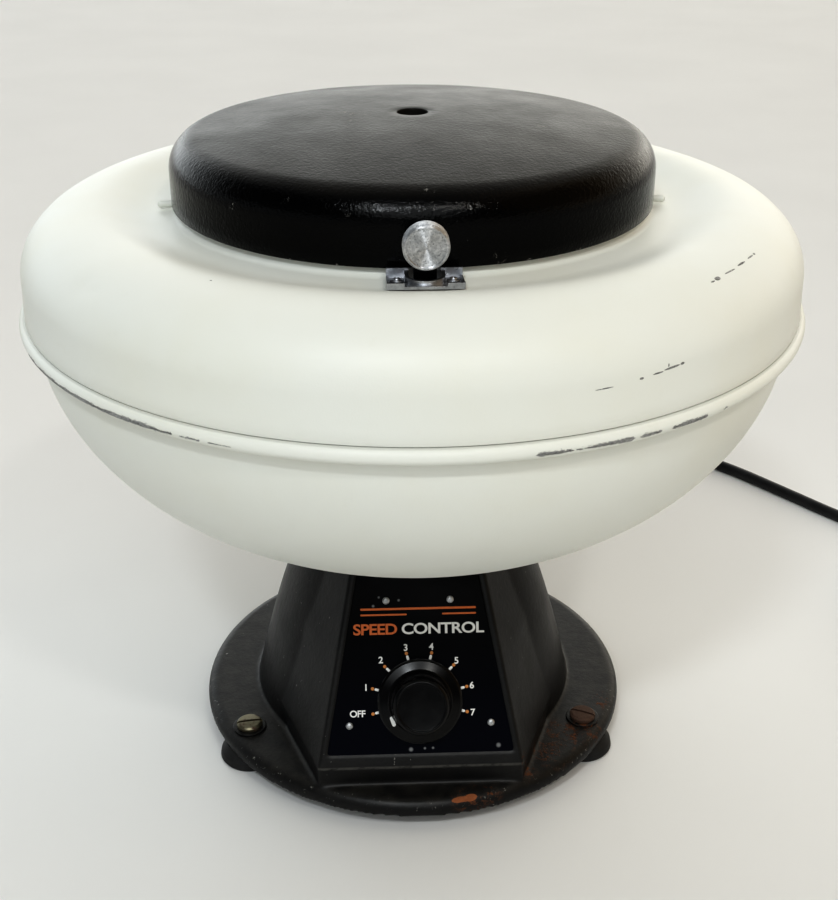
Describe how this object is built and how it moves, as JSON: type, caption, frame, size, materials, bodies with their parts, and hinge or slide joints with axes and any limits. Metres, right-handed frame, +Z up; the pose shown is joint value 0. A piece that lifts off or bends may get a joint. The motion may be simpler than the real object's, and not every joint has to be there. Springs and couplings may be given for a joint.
{
  "type": "laboratory centrifuge",
  "caption": "Bench-top clinical centrifuge: cast pedestal with speed dial, round steel guard bowl, domed hinged lid with latch, swing-out cup rotor and mains cord.",
  "frame": {"origin": "on the table surface, under the rotor's axis, at the centre of the object's footprint", "axes": "+Z up along the rotor's axis, -Y towards the operator (control panel and latch), +X to the operator's right"},
  "size_m": [0.572, 0.4982, 0.325],
  "materials": {
    "cream_paint": "satin, finely textured enamel, chipped at the rim",
    "black_enamel": "semi-gloss orange-peel enamel",
    "black_casting": "satin black paint over cast iron, worn and rusted at edges",
    "panel_navy": "screen-printed satin plate",
    "knob_black": "moulded phenolic, semi-gloss",
    "aluminium_turned": "turned face, fine rings",
    "aluminium_pressed": "pressed sheet, lightly scuffed",
    "steel_worn": "bare steel, tarnished and rusted",
    "steel_bright": "plated",
    "steel_sheet": "zinc-plated sheet",
    "steel_ground": "ground",
    "laminations": "stacked laminations",
    "copper_wire": "enamelled copper winding",
    "brass_part": "machined",
    "carbon": "graphite",
    "ceramic": "unglazed",
    "cast_aluminium": "cast and machined",
    "rubber_black": "moulded",
    "cord_black": "smooth jacket",
    "plug_black": "moulded, fine grain"
  },
  "bodies": {
    "base": {"base_casting": "black_casting", "bottom_cover": "steel_sheet", "foot_front_left": "rubber_black", "foot_front_right": "rubber_black", "foot_rear": "rubber_black", "foot_screws": "steel_worn", "control_panel_plate": "panel_navy", "panel_screws": "steel_bright", "rheostat_body": "ceramic", "rheostat_winding": "copper_wire", "motor_casing": "steel_sheet", "lower_end_bell": "cast_aluminium", "upper_end_bell": "cast_aluminium", "lower_bearing": "steel_ground", "upper_bearing": "steel_ground", "field_core": "laminations", "field_coils": "copper_wire", "brush_holders": "brass_part", "carbon_brushes": "carbon", "motor_mount_ring": "steel_sheet", "motor_isolators": "rubber_black", "guard_bowl": "cream_paint", "bowl_screws": "steel_bright", "bowl_boot": "rubber_black", "top_shell": "cream_paint", "lid_rest_pins": "cream_paint", "latch_keeper": "aluminium_pressed", "shell_rivets": "aluminium_pressed", "hinge_leaf_fixed": "steel_bright", "hinge_pin": "steel_ground", "cord_strain_relief": "rubber_black", "mains_cord": "cord_black", "cord_coil": "cord_black", "plug_body": "plug_black", "plug_blades": "brass_part"},
    "lid": {"lid": "black_enamel", "hinge_leaf_lid": "black_enamel", "lid_rivets": "aluminium_pressed"},
    "latch": {"latch_knob": "aluminium_turned", "latch_pin": "steel_ground", "latch_tongue": "black_enamel"},
    "speed_control": {"speed_knob": "knob_black", "knob_shaft": "brass_part", "rheostat_wiper": "brass_part"},
    "rotor": {"motor_shaft": "steel_ground", "armature_core": "laminations", "armature_windings": "copper_wire", "commutator": "copper_wire", "cooling_fan": "cast_aluminium", "rotor_head": "cast_aluminium", "trunnion_pins": "steel_ground", "rotor_nut": "steel_bright"},
    "cup_1": {"trunnion_ring_1": "cast_aluminium", "cup_shield_1": "steel_bright"},
    "cup_2": {"trunnion_ring_2": "cast_aluminium", "cup_shield_2": "steel_bright"},
    "cup_3": {"trunnion_ring_3": "cast_aluminium", "cup_shield_3": "steel_bright"},
    "cup_4": {"trunnion_ring_4": "cast_aluminium", "cup_shield_4": "steel_bright"}
  },
  "joints": [
    {"name": "lid_hinge", "type": "hinge", "parent": "base", "child": "lid", "pos_m": [0, 0.121, 0.291], "axis": [-1, 0, 0], "range_deg": [0, 105]},
    {"name": "latch_pull", "type": "slide", "parent": "lid", "child": "latch", "axis": [0, -1, 0], "range_m": [0, 0.003], "stiffness_N_per_m": 600, "springref_m": -0.001},
    {"name": "speed_knob_turn", "type": "hinge", "parent": "base", "child": "speed_control", "pos_m": [0, -0.0839, 0.0574], "axis": [0, 0.8965, -0.4431], "range_deg": [0, 210]},
    {"name": "rotor_spin", "type": "hinge", "parent": "base", "child": "rotor", "pos_m": [0, 0, 0.235], "axis": [0, 0, 1], "continuous": true},
    {"name": "cup_1_swing", "type": "hinge", "parent": "rotor", "child": "cup_1", "pos_m": [0, -0.06, 0.235], "axis": [-1, 0, 0], "range_deg": [0, 90]},
    {"name": "cup_2_swing", "type": "hinge", "parent": "rotor", "child": "cup_2", "pos_m": [0.06, 0, 0.235], "axis": [0, -1, 0], "range_deg": [0, 90]},
    {"name": "cup_3_swing", "type": "hinge", "parent": "rotor", "child": "cup_3", "pos_m": [0, 0.06, 0.235], "axis": [1, 0, 0], "range_deg": [0, 90]},
    {"name": "cup_4_swing", "type": "hinge", "parent": "rotor", "child": "cup_4", "pos_m": [-0.06, 0, 0.235], "axis": [0, 1, 0], "range_deg": [0, 90]}
  ]
}
